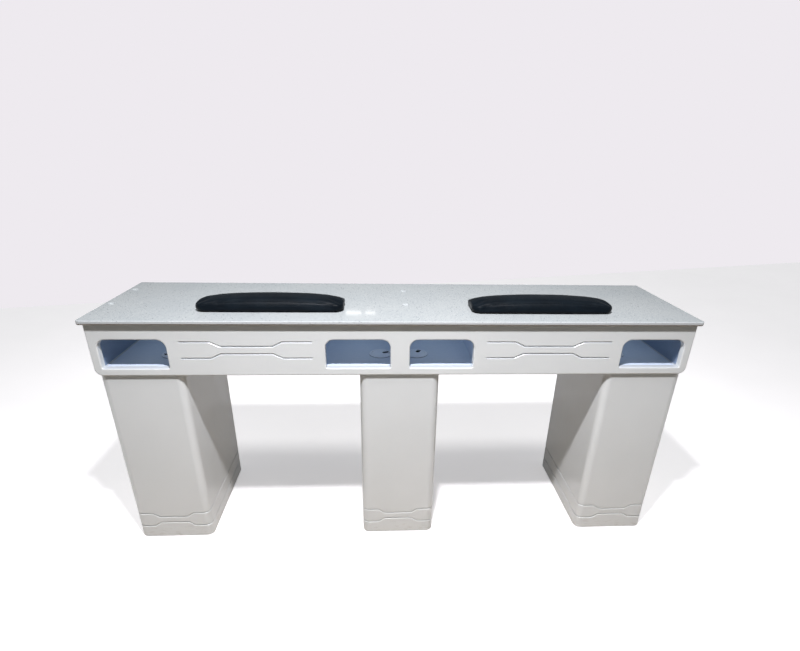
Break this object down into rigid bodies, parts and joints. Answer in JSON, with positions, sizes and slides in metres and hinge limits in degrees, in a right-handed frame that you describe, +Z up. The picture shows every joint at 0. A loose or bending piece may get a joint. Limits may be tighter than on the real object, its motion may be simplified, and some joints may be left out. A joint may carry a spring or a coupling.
{
  "type": "manicure table",
  "caption": "Two-station manicure table: long stone top on a shallow cabinet with front cubbies and rear drawers, on rounded pedestals, with loose padded armrests.",
  "frame": {"origin": "centre of the footprint, on the floor", "axes": "+X along the table's length, to the right of a client facing it; +Y across it, from the clients' side to the technicians' side; +Z up"},
  "size_m": [1.8, 0.45, 0.822],
  "materials": {
    "engineered_stone": "polished, fine grey speckle",
    "cover_cap_plastic": "gloss",
    "white_lacquer": "sprayed satin lacquer on board",
    "interior_board": "matt pale blue-grey board",
    "plywood": "raw plywood",
    "zinc_steel": "zinc plated",
    "grommet_plastic": "fine satin texture",
    "glide_plastic": "matt",
    "drawer_board": "melamine",
    "pull_metal": "brushed and anodised",
    "black_vinyl": "satin vinyl",
    "armrest_board": "matt",
    "grip_rubber": "matt"
  },
  "bodies": {
    "table": {"stone_top": "engineered_stone", "top_cover_caps": "cover_cap_plastic", "front_panel": "white_lacquer", "back_panel": "white_lacquer", "left_end_panel": "white_lacquer", "right_end_panel": "white_lacquer", "cabinet_floor": "interior_board", "left_outer_divider": "interior_board", "left_inner_divider": "interior_board", "centre_divider": "interior_board", "right_inner_divider": "interior_board", "right_outer_divider": "interior_board", "front_top_rail": "plywood", "back_top_rail": "plywood", "rail_brackets": "zinc_steel", "pedestal_bolts": "zinc_steel", "left_outer_grommet_ring": "grommet_plastic", "left_inner_grommet_ring": "grommet_plastic", "right_inner_grommet_ring": "grommet_plastic", "right_outer_grommet_ring": "grommet_plastic", "left_pedestal_shell": "white_lacquer", "left_pedestal_top_plate": "plywood", "left_pedestal_base_plate": "plywood", "left_pedestal_glides": "glide_plastic", "centre_pedestal_shell": "white_lacquer", "centre_pedestal_top_plate": "plywood", "centre_pedestal_base_plate": "plywood", "centre_pedestal_glides": "glide_plastic", "right_pedestal_shell": "white_lacquer", "right_pedestal_top_plate": "plywood", "right_pedestal_base_plate": "plywood", "right_pedestal_glides": "glide_plastic", "left_cabinet_runners": "zinc_steel", "right_cabinet_runners": "zinc_steel"},
    "left_drawer": {"left_drawer_front": "white_lacquer", "left_drawer_sides": "drawer_board", "left_drawer_back": "drawer_board", "left_drawer_bottom": "drawer_board", "left_drawer_pull": "pull_metal", "left_drawer_pull_screws": "zinc_steel", "left_drawer_runners": "zinc_steel"},
    "right_drawer": {"right_drawer_front": "white_lacquer", "right_drawer_sides": "drawer_board", "right_drawer_back": "drawer_board", "right_drawer_bottom": "drawer_board", "right_drawer_pull": "pull_metal", "right_drawer_pull_screws": "zinc_steel", "right_drawer_runners": "zinc_steel"},
    "left_outer_grommet_cap": {"left_outer_grommet_cap": "grommet_plastic"},
    "left_inner_grommet_cap": {"left_inner_grommet_cap": "grommet_plastic"},
    "right_inner_grommet_cap": {"right_inner_grommet_cap": "grommet_plastic"},
    "right_outer_grommet_cap": {"right_outer_grommet_cap": "grommet_plastic"},
    "left_armrest": {"left_armrest_pad": "black_vinyl", "left_armrest_base": "armrest_board", "left_armrest_grips": "grip_rubber"},
    "right_armrest": {"right_armrest_pad": "black_vinyl", "right_armrest_base": "armrest_board", "right_armrest_grips": "grip_rubber"}
  },
  "joints": [
    {"name": "left_drawer_slide", "type": "slide", "parent": "table", "child": "left_drawer", "axis": [0, 1, 0], "range_m": [0, 0.26]},
    {"name": "right_drawer_slide", "type": "slide", "parent": "table", "child": "right_drawer", "axis": [0, 1, 0], "range_m": [0, 0.26]},
    {"name": "left_outer_cap_turn", "type": "hinge", "parent": "table", "child": "left_outer_grommet_cap", "pos_m": [-0.7055, -0.083, 0.629], "axis": [0, 0, 1], "continuous": true},
    {"name": "left_inner_cap_turn", "type": "hinge", "parent": "table", "child": "left_inner_grommet_cap", "pos_m": [-0.057, -0.083, 0.629], "axis": [0, 0, 1], "continuous": true},
    {"name": "right_inner_cap_turn", "type": "hinge", "parent": "table", "child": "right_inner_grommet_cap", "pos_m": [0.057, -0.083, 0.629], "axis": [0, 0, 1], "continuous": true},
    {"name": "right_outer_cap_turn", "type": "hinge", "parent": "table", "child": "right_outer_grommet_cap", "pos_m": [0.7055, -0.083, 0.629], "axis": [0, 0, 1], "continuous": true},
    {"name": "left_armrest_lift", "type": "slide", "parent": "table", "child": "left_armrest", "axis": [0, 0, 1], "range_m": [0, 0.1]},
    {"name": "right_armrest_lift", "type": "slide", "parent": "table", "child": "right_armrest", "axis": [0, 0, 1], "range_m": [0, 0.1]}
  ]
}
